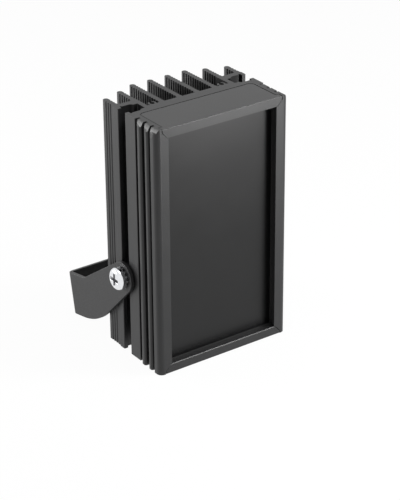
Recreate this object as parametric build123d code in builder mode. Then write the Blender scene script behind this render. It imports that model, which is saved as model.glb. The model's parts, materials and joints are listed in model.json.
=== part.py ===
from build123d import *
import os
from math import atan, cos, degrees, pi, radians, sin, sqrt, tan

# Infrared illuminator: a finned aluminium extrusion, closed at the front by a dark window and at
# both ends by caps, held by a bent steel bracket on two screws whose nuts slide in side slots.
# Millimetres. X runs to the right, Y from front to back, Z up. The origin is the middle of the
# lower end cap's outer face, on which the lamp stands. Sizes that end in _y are depths, counted
# from the front face, and the planes below take the origin's own depth off them.

# Housing extrusion
housing_height = 135.0
housing_half_width = 40.0
lip_inset = 1.0
flange_lap = 1.2
front_flange_depth = 3.1
channel_inset = 1.9
channel_back_y = 21.8
web_thickness = 7.8

# Ribs on the front part of each side, from the back to the rounded front corner
rib_depth = 3.6
rib_spans = ((13.35, 18.0), (7.4, 11.75))
rib_back_radius = 2.7
rib_front_radius = 1.3
corner_rib_back_y = 5.9
corner_radius = 3.0
rib_end_inset = 1.8
rib_end_height = 5.0

# Slots that the bracket's nuts slide in
slot_setback = 1.6
slot_depth = 11.7
slot_mouth_width = 6.2
slot_lip_thickness = 2.2
slot_chamber_width = 9.4
slot_chamber_depth = 5.8
slot_relief_width = 6.7
slot_corner_radius = 0.55
slot_edge_radius = 0.35
front_lip_width = 8.8
rear_lip_width = 4.1
slot_back_wall = 0.9
slot_end_wall = 2.6

# Cooling fins: how far they reach behind the web, from the middle outwards, and where they stand
fin_thickness = 3.0
fin_reaches = (27.9, 27.9, 23.9, 19.9)
outer_fin_inset = 1.9
middle_fin_share = 0.204
second_fin_share = 0.611
groove_spacing = 2.05
groove_depth = 0.55
groove_margin = 2.2

# Screw ports on the back of the web
port_setback = 1.1
port_outer_radius = 2.2
port_bore_radius = 1.25
port_gap = 1.5

# Pocket at each end for a cap
cap_inset = 5.5
cap_back_lap = 1.5
cap_height = 5.0
cap_pocket_depth = 4.0
cap_slip = 0.2
cap_edge_radius = 0.45
cap_corner_radius = 3.0
cap_seal_thickness = 0.8
cap_seal_play = 0.3

# Lugs under each cap, and the screws that pull them to the web
lug_width = 9.0
lug_depth = 7.8
lug_drop = 11.5
lug_play = 0.1
cap_screw_inset = 10.0
cap_screw_length = 13.0

# M3 screws
m3_radius = 1.5
m3_head_radius = 2.75
m3_head_height = 2.4
m3_socket_width = 2.5
m3_socket_depth = 1.3
m3_hole_radius = 1.7
thread_gap = 0.05
thread_run_out = 0.5

# Window and its gasket
window_thickness = 3.0
window_gasket_depth = 2.3
window_play = 0.2
gasket_step = 0.3
groove_play = 0.15

# Lamp engine: thermal pad, board, emitters, lenses and their tray
pad_thickness = 0.5
board_thickness = 1.6
led_columns = 3
led_rows = 4
led_board_side_gap = 3.1
led_board_top_gap = 1.3
led_board_low_gap = 1.75
led_end_margin = 1.5
led_side_margin = 2.5
emitter_width = 3.5
emitter_base = 0.9
emitter_dome_radius = 1.4
emitter_dome_height = 1.2
emitter_dome_sides = 8
lens_foot_gap = 0.2
lens_foot_radius = 3.2
lens_sides = 12
lens_side_gap = 0.9
lens_flange_width = 1.2
lens_flange_thickness = 1.2
lens_window_gap = 0.7
lens_well_radius = 1.9
lens_well_depth = 2.4
lens_seat_gap = 0.15
tray_thickness = 1.8
tray_side_inset = 1.0
tray_end_inset = 1.5
tray_post_radius = 3.0
tray_screw_head_height = 1.2
tray_screw_length = 16.0

# Driver electronics below the lamp engine; each part stands this far inside the board's edges
driver_side_inset = 0.5
driver_height = 25.5
driver_low_gap = 2.05
standoff_length = 4.9
standoff_radius = 3.0
driver_screw_side_inset = 3.5
driver_screw_end_inset = 3.55
driver_screw_head_height = 1.6
driver_screw_length = 9.0
capacitor_radius = 4.0
capacitor_headroom = 0.7
capacitor_side_insets = (11.5, 20.5)
capacitor_top_inset = 7.25
inductor_size = 10.0
inductor_headroom = 2.1
inductor_waist = 3.6
inductor_plate = 1.0
inductor_side_inset = 12.5
inductor_top_inset = 7.75
chip_size = (5.0, 4.0)
chip_thickness = 1.6
chip_offset = 3.5
chip_low_insets = (9.75, 19.25)
terminal_spacing = 5.0
terminal_count = 3
terminal_headroom = 0.9
terminal_height = 7.6
terminal_side_inset = 18.0
terminal_low_inset = 6.25
terminal_screw_radius = 1.5
terminal_screw_depth = 3.2
terminal_entry_width = 3.2
photocell_radius = 2.5
photocell_headroom = 1.3
photocell_rim = 0.5
photocell_side_inset = 13.0
photocell_low_inset = 5.75
lead_thickness = 0.6
lead_width = 1.8
lead_spacing = 5.0
lead_rise = 2.6
lead_foot_inset = 1.6

# Cable gland in the web's back, between the second fins
gland_z = 19.0
gland_clearing_height = 33.0
gland_clearing_play = 0.6
gland_thread_radius = 6.0
gland_washer_radius = 7.6
gland_washer_thickness = 0.8
gland_hex_width = 15.0
gland_hex_height = 4.4
gland_collar_radius = 5.2
gland_collar_height = 6.5
gland_body_bore_radius = 3.2
gland_seal_seat_radius = 4.0
gland_seal_seat_depth = 7.5
gland_nut_height = 10.5
gland_nut_hex_height = 6.0
gland_nut_play = 0.3
gland_nose_radius = 5.0
cable_radius = 2.75

# Bracket, in its own tilted plane: u runs back and v runs up from the pivot
pivot_z = 44.0
bracket_tilt = 10.6
sheet_thickness = 2.0
bracket_gap = 0.3
arm_end_radius = 8.35
arm_top_slope = 24.4
arm_bottom_slope = 35.0
arm_bottom_blend = 45.0
arm_top_blend = 4.0
plate_u = 57.0
plate_top_v = -9.2
plate_bottom_v = -32.6
bend_inner_radius = 1.0
pivot_clearance = 0.05
centre_hole_radius = 3.25
outer_hole_radius = 2.25
outer_hole_spacing = 50.0

# M6 pivot screws, their toothed washers and the sliding nuts
m6_radius = 3.0
m6_head_radius = 6.0
m6_head_height = 3.9
m6_head_rim = 1.6
m6_length = 14.0
recess_length = 6.4
recess_width = 1.3
recess_depth = 2.2
recess_taper = 8.0
washer_gap = 0.1
washer_space = 0.9
washer_inner_radius = 3.2
washer_ring_radius = 4.7
washer_sheet = 0.5
washer_teeth = 14
tooth_tip_radius = 5.9
tooth_width = 1.0
tooth_twist = 22.0
nut_length = 13.0
nut_thickness = 4.7
nut_gap = 0.1
nut_edge = 0.4

# Places worked out from the sizes above
rib_half_width = housing_half_width
rib_root_half_width = rib_half_width - rib_depth
rib_end_half_width = rib_half_width - rib_end_inset
lip_half_width = housing_half_width - lip_inset
cap_half_width = housing_half_width - cap_inset
opening_half_width = cap_half_width - flange_lap
channel_half_width = cap_half_width - channel_inset
web_back_y = channel_back_y + web_thickness
cap_back_y = channel_back_y + cap_back_lap
cap_strip_half_width = rib_root_half_width
slot_centre_y = web_back_y + slot_setback
slot_end_half_width = lip_half_width - slot_depth
front_lip_y = slot_centre_y - slot_mouth_width / 2 - front_lip_width
rear_lip_y = slot_centre_y + slot_mouth_width / 2 + rear_lip_width
slot_block_back_y = rear_lip_y + slot_back_wall
block_fin_x = slot_end_half_width - slot_end_wall + fin_thickness / 2
fin_centres = (block_fin_x * middle_fin_share, block_fin_x * second_fin_share, block_fin_x,
               lip_half_width - outer_fin_inset)
fin_tips_y = [web_back_y + reach for reach in fin_reaches]
port_centre_x = (fin_centres[1] + fin_centres[2]) / 2
port_centre_y = web_back_y + port_setback
cap_screw_x = (fin_centres[0] + fin_centres[1]) / 2
origin_depth = cap_back_y / 2
window_front_y = front_flange_depth + window_gasket_depth
window_back_y = window_front_y + window_thickness
window_groove_back_y = window_back_y + window_play
window_half_width = cap_half_width - groove_play
window_end_z = housing_height - cap_pocket_depth - groove_play
cap_seat_z = housing_height - cap_pocket_depth
cap_underside_z = cap_seat_z + cap_seal_thickness
cap_line_z = housing_height - cap_height
board_back_y = channel_back_y - pad_thickness
board_front_y = board_back_y - board_thickness
emitter_front_y = board_front_y - emitter_base
lens_foot_y = emitter_front_y - lens_foot_gap
lug_low_z = cap_underside_z - lug_drop
driver_low_z = housing_height - lug_low_z + driver_low_gap
driver_centre_z = driver_low_z + driver_height / 2
led_board_low_z = driver_low_z + driver_height + led_board_low_gap
led_board_high_z = lug_low_z - led_board_top_gap
led_centre_z = (led_board_low_z + led_board_high_z) / 2
led_board_height = led_board_high_z - led_board_low_z
led_board_width = 2 * (channel_half_width - led_board_side_gap)
led_spacing = min((led_board_height - 2 * led_end_margin) / led_rows,
                  (led_board_width - 2 * led_side_margin) / led_columns)
lens_flange_radius = led_spacing / 2 - lens_side_gap
lens_cone_radius = lens_flange_radius - lens_flange_width
tray_width = led_board_width - 2 * tray_side_inset
tray_height = led_board_height - 2 * tray_end_inset
driver_width = led_board_width - 2 * driver_side_inset
driver_screw_x = driver_width / 2 - driver_screw_side_inset
driver_screw_z = driver_height / 2 - driver_screw_end_inset
capacitor_spots = [(inset - driver_width / 2, driver_height / 2 - capacitor_top_inset)
                   for inset in capacitor_side_insets]
inductor_spot = (driver_width / 2 - inductor_side_inset, driver_height / 2 - inductor_top_inset)
chip_spots = [(chip_offset, inset - driver_height / 2) for inset in chip_low_insets]
terminal_spot = (terminal_side_inset - driver_width / 2, terminal_low_inset - driver_height / 2)
photocell_spot = (driver_width / 2 - photocell_side_inset, photocell_low_inset - driver_height / 2)
lens_front_y = window_back_y + lens_window_gap
tray_front_y = lens_front_y + lens_flange_thickness
tray_back_y = tray_front_y + tray_thickness
driver_back_y = channel_back_y - standoff_length
driver_front_y = driver_back_y - board_thickness
driver_space = driver_front_y - window_groove_back_y
capacitor_height = driver_space - capacitor_headroom
inductor_height = driver_space - inductor_headroom
terminal_depth = driver_space - terminal_headroom
photocell_height = driver_space - photocell_headroom
terminal_low_z = driver_centre_z + terminal_spot[1] - terminal_height / 2
slot_lip_x = lip_half_width - slot_lip_thickness
slot_chamber_x = slot_lip_x - slot_chamber_depth
arm_inner_x = lip_half_width + bracket_gap
arm_outer_x = arm_inner_x + sheet_thickness
washer_x = arm_outer_x + washer_gap
head_x = washer_x + washer_space
nut_outer_x = slot_lip_x - nut_gap
gland_seat_y = web_back_y + gland_washer_thickness
gland_shoulder_y = gland_seat_y + gland_hex_height
gland_collar_end_y = gland_shoulder_y + gland_collar_height
plate_middle_v = (plate_top_v + plate_bottom_v) / 2

cap_screw_spots = [(side * cap_screw_x, z) for side in (-1, 1)
                   for z in (cap_screw_inset, housing_height - cap_screw_inset)]
tray_screw_spots = [(side * led_spacing / 2, led_centre_z + level * led_spacing)
                    for side in (-1, 1) for level in (-1, 1)]
driver_screw_spots = [(side * driver_screw_x, driver_centre_z + level * driver_screw_z)
                      for side in (-1, 1) for level in (-1, 1)]

mid_height = Plane.XY.offset(housing_height / 2)
tilt = radians(bracket_tilt)
bracket_back = (0, cos(tilt), -sin(tilt))
bracket_up = (0, sin(tilt), cos(tilt))
pivot_centre = (0, slot_centre_y - origin_depth, pivot_z)
bracket_plane = Plane(origin=pivot_centre, x_dir=bracket_back, z_dir=(1, 0, 0))

os.makedirs("parts", exist_ok=True)


def write(piece, label):
    """Label a finished piece and write it to a file of its own."""
    piece.part.label = label
    export_step(piece.part, f"parts/{label}.step")


def plan_plane(z):
    """A level plane at height z: its x is X and its y is depth."""
    return Plane(origin=(0, -origin_depth, z))


def front_plane(depth, z=0):
    """A plane at a depth that faces the front: its x is X and its y is height above z."""
    return Plane(origin=(0, depth - origin_depth, z), x_dir=(1, 0, 0), z_dir=(0, -1, 0))


def rear_plane(depth):
    """A plane at a depth that faces the back: its x is -X and its y is Z."""
    return Plane(origin=(0, depth - origin_depth, 0), x_dir=(-1, 0, 0), z_dir=(0, 1, 0))


def side_plane(x, depth=0, z=0):
    """A plane at x that faces right: its x is depth and its y is height."""
    return Plane(origin=(x, depth - origin_depth, z), x_dir=(0, 1, 0), z_dir=(1, 0, 0))


def box_outline(x_low, x_high, y_low, y_high, mode=Mode.ADD):
    """A rectangle in a sketch, given by its limits."""
    with Locations(((x_low + x_high) / 2, (y_low + y_high) / 2)):
        Rectangle(x_high - x_low, y_high - y_low, mode=mode)


# Housing extrusion, drawn as the right half of its plan section

def side_rib(front_y, back_y, front_radius, back_radius):
    """One rib of the side wall, with its outer edges rounded."""
    with BuildSketch() as rib:
        box_outline(channel_half_width, rib_half_width, front_y, back_y)
        outer = rib.vertices().group_by(Axis.X)[-1].sort_by(Axis.Y)
        fillet(outer[0], front_radius)
        fillet(rib.vertices().group_by(Axis.X)[-1].sort_by(Axis.Y)[-1], back_radius)
    return rib.sketch


def slot_outline():
    """The side slot: mouth, nut chamber and the narrower relief for the screw's end."""
    half_chamber = slot_chamber_width / 2
    half_relief = slot_relief_width / 2
    taper = half_chamber - half_relief
    with BuildSketch() as slot:
        with BuildLine():
            Polyline((slot_lip_x, slot_centre_y - half_chamber),
                     (slot_chamber_x, slot_centre_y - half_chamber),
                     (slot_chamber_x - taper, slot_centre_y - half_relief),
                     (slot_end_half_width, slot_centre_y - half_relief),
                     (slot_end_half_width, slot_centre_y + half_relief),
                     (slot_chamber_x - taper, slot_centre_y + half_relief),
                     (slot_chamber_x, slot_centre_y + half_chamber),
                     (slot_lip_x, slot_centre_y + half_chamber), close=True)
        make_face()
        fillet(slot.vertices().group_by(Axis.X)[0], slot_corner_radius)
        box_outline(slot_lip_x, rib_half_width, slot_centre_y - slot_mouth_width / 2,
                    slot_centre_y + slot_mouth_width / 2)
        with Locations((slot_lip_x - slot_corner_radius, slot_centre_y - half_chamber),
                       (slot_lip_x - slot_corner_radius, slot_centre_y + half_chamber)):
            Circle(slot_corner_radius)
    return slot.sketch


def fin(centre_x, root_y, tip_y):
    """One fin with a round tip and V grooves down both faces."""
    half = fin_thickness / 2
    first_y = root_y + groove_margin
    count = int((tip_y - groove_margin - first_y) / groove_spacing) + 1
    depths = [first_y + step * groove_spacing for step in range(count)]
    with BuildSketch() as outline:
        box_outline(centre_x - half, centre_x + half, web_back_y - port_gap, tip_y - half)
        with Locations((centre_x, tip_y - half)):
            Circle(half)
        with Locations(*[(centre_x + side * half, y) for side in (-1, 1) for y in depths]):
            Rectangle(groove_depth * sqrt(2), groove_depth * sqrt(2), rotation=45,
                      mode=Mode.SUBTRACT)
    return outline.sketch


with BuildSketch(plan_plane(0)) as housing_section:
    # side wall with its ribs, and the plain lip in front of the slot
    box_outline(channel_half_width, rib_root_half_width, 0, web_back_y)
    box_outline(channel_half_width, lip_half_width, front_lip_y, rear_lip_y)
    for front_y, back_y in rib_spans:
        add(side_rib(front_y, back_y, rib_front_radius, rib_back_radius))
    add(side_rib(0, corner_rib_back_y, corner_radius, rib_front_radius))
    # flange beside the front opening
    box_outline(opening_half_width, rib_root_half_width, 0, front_flange_depth)
    # web, and the block that holds the slot
    box_outline(0, rib_root_half_width, channel_back_y, web_back_y)
    block_x = fin_centres[2] - fin_thickness / 2
    block_outer_x = fin_centres[3] + fin_thickness / 2
    box_outline(block_x, block_outer_x, channel_back_y, slot_block_back_y)
    # groove that the window slides in
    box_outline(0, cap_half_width, front_flange_depth, window_groove_back_y, mode=Mode.SUBTRACT)
    # fins
    for centre_x, tip_y in zip(fin_centres, fin_tips_y):
        root_y = slot_block_back_y if centre_x > block_x else web_back_y
        add(fin(centre_x, root_y, tip_y))
    # screw port
    with Locations((port_centre_x, port_centre_y)):
        Circle(port_outer_radius)
        Circle(port_bore_radius, mode=Mode.SUBTRACT)
    box_outline(port_centre_x - port_gap / 2, port_centre_x + port_gap / 2,
                port_centre_y, port_centre_y + port_outer_radius, mode=Mode.SUBTRACT)
    # slot
    add(slot_outline(), mode=Mode.SUBTRACT)
    lip_edges = housing_section.vertices().filter_by_position(
        Axis.X, lip_half_width - slot_edge_radius / 2, lip_half_width + slot_edge_radius / 2)
    fillet(lip_edges, slot_edge_radius)
    mirror(about=Plane.YZ)

def cap_outline(gap):
    """The outline of a cap's pocket with its round back corners, drawn in by a gap."""
    with BuildSketch() as outline:
        box_outline(-cap_half_width + gap, cap_half_width - gap, front_flange_depth, cap_back_y - gap)
        fillet(outline.vertices().group_by(Axis.Y)[-1], cap_corner_radius - gap)
    return outline.sketch


# What is milled away at one end to seat a cap
with BuildPart() as end_pocket:
    with BuildSketch(plan_plane(cap_seat_z)):
        add(cap_outline(0))
    extrude(amount=2 * cap_pocket_depth)
    with BuildSketch(front_plane(front_flange_depth)):
        with BuildLine():
            notch_corner_z = cap_line_z + cap_strip_half_width - opening_half_width
            Polyline((0, cap_line_z), (opening_half_width, cap_line_z),
                     (cap_strip_half_width, notch_corner_z),
                     (cap_strip_half_width, housing_height + cap_height),
                     (0, housing_height + cap_height), close=True)
        make_face()
        mirror(about=Plane.YZ)
    extrude(amount=2 * front_flange_depth)

# What is cut from the upper ends of the side ribs
with BuildPart() as rib_end_cut:
    with BuildSketch(front_plane(front_lip_y)):
        with BuildLine():
            rib_end = (rib_end_half_width, housing_height)
            rib_start = (rib_half_width, housing_height - rib_end_height)
            RadiusArc(rib_start, rib_end, -2 * rib_end_height)
            Polyline(rib_end, (rib_half_width, housing_height), rib_start)
        make_face()
        mirror(about=Plane.YZ)
    extrude(amount=front_lip_y + rib_end_height)

with BuildPart() as housing_extrusion:
    add(housing_section.sketch)
    extrude(amount=housing_height)
    add(end_pocket.part, mode=Mode.SUBTRACT)
    add(end_pocket.part.mirror(mid_height), mode=Mode.SUBTRACT)
    add(rib_end_cut.part, mode=Mode.SUBTRACT)
    # the two middle fins are cut away round the cable gland
    clearing_half_width = fin_centres[1] - fin_thickness / 2 - gland_clearing_play
    with BuildSketch(plan_plane(0)):
        box_outline(-clearing_half_width, clearing_half_width, web_back_y, fin_tips_y[0] + cap_height)
    extrude(amount=gland_clearing_height, mode=Mode.SUBTRACT)
    # gland thread and clearance holes for the cap screws, right through the web
    with BuildSketch(front_plane(web_back_y)):
        with Locations((0, gland_z)):
            Circle(gland_thread_radius + thread_gap)
        with Locations(*cap_screw_spots):
            Circle(m3_hole_radius)
    extrude(amount=web_back_y - channel_back_y, mode=Mode.SUBTRACT)
    # threaded holes for the tray and driver screws
    with BuildSketch(front_plane(tray_front_y + tray_screw_length + thread_run_out)):
        with Locations(*tray_screw_spots):
            Circle(m3_radius + thread_gap)
    extrude(amount=tray_screw_length, mode=Mode.SUBTRACT)
    with BuildSketch(front_plane(driver_front_y + driver_screw_length + thread_run_out)):
        with Locations(*driver_screw_spots):
            Circle(m3_radius + thread_gap)
    extrude(amount=driver_screw_length, mode=Mode.SUBTRACT)
write(housing_extrusion, "housing_extrusion")


def m3_screws(seat, spots, head_height, length):
    """M3 socket screws: heads stand up from the seat plane and shanks go down from it."""
    with BuildPart() as screws:
        with BuildSketch(seat):
            with Locations(*spots):
                Circle(m3_head_radius)
        extrude(amount=head_height)
        with BuildSketch(seat):
            with Locations(*spots):
                Circle(m3_radius)
        extrude(amount=-length)
        with BuildSketch(seat.offset(head_height)):
            with Locations(*spots):
                RegularPolygon(m3_socket_width / 2, 6, major_radius=False)
        extrude(amount=-min(m3_socket_depth, head_height / 2), mode=Mode.SUBTRACT)
    return screws.part


# End caps, the seals under them and their screws

with BuildPart() as top_end_cap:
    with BuildSketch(plan_plane(cap_underside_z)):
        add(cap_outline(cap_slip))
    extrude(amount=housing_height - cap_underside_z)
    # front strip, whose ends follow the notch in the flange
    with BuildSketch(front_plane(front_flange_depth)):
        strip_half_width = opening_half_width - cap_slip * sqrt(2)
        strip_end_x = cap_strip_half_width - cap_slip
        strip_corner_z = cap_line_z + strip_end_x - strip_half_width
        with BuildLine():
            Polyline((0, cap_line_z), (strip_half_width, cap_line_z),
                     (strip_end_x, strip_corner_z), (strip_end_x, housing_height),
                     (0, housing_height), close=True)
        make_face()
        mirror(about=Plane.YZ)
    extrude(amount=front_flange_depth)
    fillet(top_end_cap.faces().sort_by(Axis.Z)[-1].edges(), cap_edge_radius)
    # lugs that the screws pull against the web
    with BuildSketch(plan_plane(cap_underside_z)):
        lug_back_y = channel_back_y - lug_play
        for side in (-1, 1):
            box_outline(side * cap_screw_x - lug_width / 2, side * cap_screw_x + lug_width / 2,
                        lug_back_y - lug_depth, lug_back_y)
    extrude(amount=-lug_drop)
    with BuildSketch(front_plane(channel_back_y)):
        with Locations((-cap_screw_x, housing_height - cap_screw_inset),
                       (cap_screw_x, housing_height - cap_screw_inset)):
            Circle(m3_radius + thread_gap)
    extrude(amount=lug_play + lug_depth, mode=Mode.SUBTRACT)
write(top_end_cap, "top_end_cap")

with BuildPart() as bottom_end_cap:
    add(top_end_cap.part.mirror(mid_height))
write(bottom_end_cap, "bottom_end_cap")

with BuildPart() as top_cap_seal:
    with BuildSketch(plan_plane(cap_seat_z)):
        add(cap_outline(cap_seal_play))
        box_outline(-channel_half_width, channel_half_width,
                    window_groove_back_y, channel_back_y, mode=Mode.SUBTRACT)
    extrude(amount=cap_seal_thickness)
write(top_cap_seal, "top_cap_seal")

with BuildPart() as bottom_cap_seal:
    add(top_cap_seal.part.mirror(mid_height))
write(bottom_cap_seal, "bottom_cap_seal")

with BuildPart() as cap_screws:
    add(m3_screws(rear_plane(web_back_y), cap_screw_spots, m3_head_height, cap_screw_length))
write(cap_screws, "cap_screws")

# Window, and the gasket between it and the flange

with BuildPart() as front_window:
    with BuildSketch(front_plane(window_back_y)):
        box_outline(-window_half_width, window_half_width,
                    housing_height - window_end_z, window_end_z)
    extrude(amount=window_thickness)
write(front_window, "front_window")

with BuildPart() as window_gasket:
    with BuildSketch(front_plane(window_front_y)):
        box_outline(-window_half_width, window_half_width,
                    housing_height - window_end_z, window_end_z)
        gasket_half_width = opening_half_width + gasket_step
        gasket_end_z = cap_line_z + gasket_step
        box_outline(-gasket_half_width, gasket_half_width,
                    housing_height - gasket_end_z, gasket_end_z, mode=Mode.SUBTRACT)
    extrude(amount=window_gasket_depth)
write(window_gasket, "window_gasket")

# Lamp engine

with BuildPart() as thermal_pad:
    with BuildSketch(front_plane(channel_back_y)):
        with Locations((0, led_centre_z)):
            Rectangle(led_board_width, led_board_height)
        with Locations(*tray_screw_spots):
            Circle(m3_hole_radius, mode=Mode.SUBTRACT)
    extrude(amount=pad_thickness)
write(thermal_pad, "thermal_pad")

with BuildPart() as led_board:
    with BuildSketch(front_plane(board_back_y)):
        with Locations((0, led_centre_z)):
            RectangleRounded(led_board_width, led_board_height, board_thickness)
        with Locations(*tray_screw_spots):
            Circle(m3_hole_radius, mode=Mode.SUBTRACT)
    extrude(amount=board_thickness)
write(led_board, "led_board")

# one emitter, with its light along Z
with BuildPart() as emitter:
    with BuildSketch():
        Rectangle(emitter_width, emitter_width)
    extrude(amount=emitter_base)
    with BuildSketch(Plane.XY.offset(emitter_base)):
        RegularPolygon(emitter_dome_radius, emitter_dome_sides)
    extrude(amount=emitter_dome_height)
    chamfer(emitter.faces().sort_by(Axis.Z)[-1].edges(), emitter_dome_height / 2)

with BuildPart() as led_emitters:
    with Locations(front_plane(board_front_y, led_centre_z)):
        with GridLocations(led_spacing, led_spacing, led_columns, led_rows):
            add(emitter.part)
write(led_emitters, "led_emitters")

# one faceted collimating lens, with its light along Z and its flange seated at zero
with BuildPart() as lens:
    with BuildSketch():
        RegularPolygon(lens_flange_radius, lens_sides)
    extrude(amount=lens_flange_thickness)
    lens_depth = lens_foot_y - tray_front_y
    flat_share = cos(pi / lens_sides)
    lens_taper = degrees(atan((lens_cone_radius - lens_foot_radius) * flat_share / lens_depth))
    with BuildSketch():
        RegularPolygon(lens_cone_radius, lens_sides)
    extrude(amount=-lens_depth, taper=lens_taper)
    with BuildSketch(Plane.XY.offset(-lens_depth)):
        RegularPolygon(lens_well_radius, lens_sides)
    extrude(amount=lens_well_depth, mode=Mode.SUBTRACT)

with BuildPart() as led_lenses:
    with Locations(front_plane(tray_front_y, led_centre_z)):
        with GridLocations(led_spacing, led_spacing, led_columns, led_rows):
            add(lens.part)
write(led_lenses, "led_lenses")

with BuildPart() as lens_tray:
    with BuildSketch(front_plane(tray_back_y)):
        with Locations((0, led_centre_z)):
            RectangleRounded(tray_width, tray_height, tray_thickness)
            with GridLocations(led_spacing, led_spacing, led_columns, led_rows):
                RegularPolygon(lens_cone_radius + lens_seat_gap, lens_sides, mode=Mode.SUBTRACT)
    extrude(amount=tray_thickness)
    with BuildSketch(front_plane(board_front_y)):
        with Locations(*tray_screw_spots):
            Circle(tray_post_radius)
    extrude(amount=board_front_y - tray_back_y)
    with BuildSketch(front_plane(board_front_y)):
        with Locations(*tray_screw_spots):
            Circle(m3_hole_radius)
    extrude(amount=board_front_y - tray_front_y, mode=Mode.SUBTRACT)
write(lens_tray, "lens_tray")

with BuildPart() as tray_screws:
    add(m3_screws(front_plane(tray_front_y), tray_screw_spots,
                  tray_screw_head_height, tray_screw_length))
write(tray_screws, "tray_screws")

# Driver electronics

with BuildPart() as driver_standoffs:
    with BuildSketch(front_plane(channel_back_y)):
        with Locations(*driver_screw_spots):
            RegularPolygon(standoff_radius, 6)
            Circle(m3_hole_radius, mode=Mode.SUBTRACT)
    extrude(amount=standoff_length)
write(driver_standoffs, "driver_standoffs")

with BuildPart() as driver_board:
    with BuildSketch(front_plane(driver_back_y)):
        with Locations((0, driver_centre_z)):
            RectangleRounded(driver_width, driver_height, board_thickness)
        with Locations(*driver_screw_spots):
            Circle(m3_hole_radius, mode=Mode.SUBTRACT)
    extrude(amount=board_thickness)
write(driver_board, "driver_board")

with BuildPart() as driver_screws:
    add(m3_screws(front_plane(driver_front_y), driver_screw_spots,
                  driver_screw_head_height, driver_screw_length))
write(driver_screws, "driver_screws")

with BuildPart() as driver_capacitors:
    with BuildSketch(front_plane(driver_front_y, driver_centre_z)):
        with Locations(*capacitor_spots):
            Circle(capacitor_radius)
    extrude(amount=capacitor_height)
    can_rims = driver_capacitors.faces().group_by(Axis.Y)[0].edges()
    chamfer(can_rims, capacitor_radius / 8)
write(driver_capacitors, "driver_capacitors")

with BuildPart() as driver_inductor:
    with BuildSketch(front_plane(driver_front_y, driver_centre_z)):
        with Locations(inductor_spot):
            RectangleRounded(inductor_size, inductor_size, inductor_plate)
    extrude(amount=inductor_height)
    with BuildSketch(front_plane(driver_front_y - inductor_plate, driver_centre_z)):
        with Locations(inductor_spot):
            Rectangle(2 * inductor_size, 2 * inductor_size)
            Circle(inductor_waist, mode=Mode.SUBTRACT)
    extrude(amount=inductor_height - 2 * inductor_plate, mode=Mode.SUBTRACT)
write(driver_inductor, "driver_inductor")

with BuildPart() as driver_chips:
    with BuildSketch(front_plane(driver_front_y, driver_centre_z)):
        with Locations(*chip_spots):
            Rectangle(*chip_size)
    extrude(amount=chip_thickness)
write(driver_chips, "driver_chips")

with BuildPart() as terminal_block:
    with BuildSketch(front_plane(driver_front_y, driver_centre_z)):
        with Locations(terminal_spot):
            Rectangle(terminal_count * terminal_spacing, terminal_height)
    extrude(amount=terminal_depth)
    front_edges = terminal_block.faces().sort_by(Axis.Y)[0].edges().filter_by(Axis.X)
    chamfer(front_edges, terminal_depth / 5)
    # wells for the clamp screws, and wire entries in the lower face
    with BuildSketch(front_plane(driver_front_y - terminal_depth, driver_centre_z)):
        with Locations(terminal_spot):
            with GridLocations(terminal_spacing, terminal_spacing, terminal_count, 1):
                Circle(terminal_screw_radius + thread_gap)
    extrude(amount=-terminal_screw_depth, mode=Mode.SUBTRACT)
    with BuildSketch(plan_plane(terminal_low_z)):
        with Locations((terminal_spot[0], driver_front_y - terminal_entry_width / 2 - thread_run_out)):
            with GridLocations(terminal_spacing, terminal_spacing, terminal_count, 1):
                Rectangle(terminal_entry_width, terminal_entry_width / 2)
    extrude(amount=terminal_height / 2, mode=Mode.SUBTRACT)
write(terminal_block, "terminal_block")

with BuildPart() as terminal_screws:
    screw_foot_y = driver_front_y - terminal_depth + terminal_screw_depth
    with BuildSketch(front_plane(screw_foot_y, driver_centre_z)):
        with Locations(terminal_spot):
            with GridLocations(terminal_spacing, terminal_spacing, terminal_count, 1):
                Circle(terminal_screw_radius)
    extrude(amount=terminal_screw_depth * 3 / 4)
    with BuildSketch(front_plane(screw_foot_y - terminal_screw_depth * 3 / 4, driver_centre_z)):
        with Locations(terminal_spot):
            with GridLocations(terminal_spacing, terminal_spacing, terminal_count, 1):
                Rectangle(2 * terminal_screw_radius, terminal_screw_radius / 3)
    extrude(amount=-terminal_screw_radius / 2, mode=Mode.SUBTRACT)
write(terminal_screws, "terminal_screws")

with BuildPart() as photocell:
    with BuildSketch(front_plane(driver_front_y, driver_centre_z)):
        with Locations(photocell_spot):
            Circle(photocell_radius)
    extrude(amount=photocell_height)
    with BuildSketch(front_plane(driver_front_y - photocell_height, driver_centre_z)):
        with Locations(photocell_spot):
            Circle(photocell_radius - photocell_rim)
    extrude(amount=-photocell_rim, mode=Mode.SUBTRACT)
write(photocell, "photocell")

# two folded metal strips that lead the current from the driver board up to the emitter board
with BuildPart() as board_leads:
    lead_low_z = driver_centre_z + driver_height / 2 - lead_foot_inset
    lead_high_z = led_centre_z - led_board_height / 2 + lead_foot_inset
    lead_crown_y = driver_front_y - lead_rise
    for side in (-1, 1):
        with BuildSketch(side_plane(side * lead_spacing / 2)):
            box_outline(lead_crown_y, driver_front_y, lead_low_z, lead_low_z + lead_thickness)
            box_outline(lead_crown_y, board_front_y, lead_high_z - lead_thickness, lead_high_z)
            box_outline(lead_crown_y, lead_crown_y + lead_thickness, lead_low_z, lead_high_z)
        extrude(amount=lead_width / 2, both=True)
write(board_leads, "board_leads")

# Cable gland, on an axis that points backwards

with BuildPart() as gland_washer:
    with BuildSketch(front_plane(gland_seat_y)):
        with Locations((0, gland_z)):
            Circle(gland_washer_radius)
            Circle(gland_thread_radius + thread_gap, mode=Mode.SUBTRACT)
    extrude(amount=gland_washer_thickness)
write(gland_washer, "gland_washer")

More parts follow.
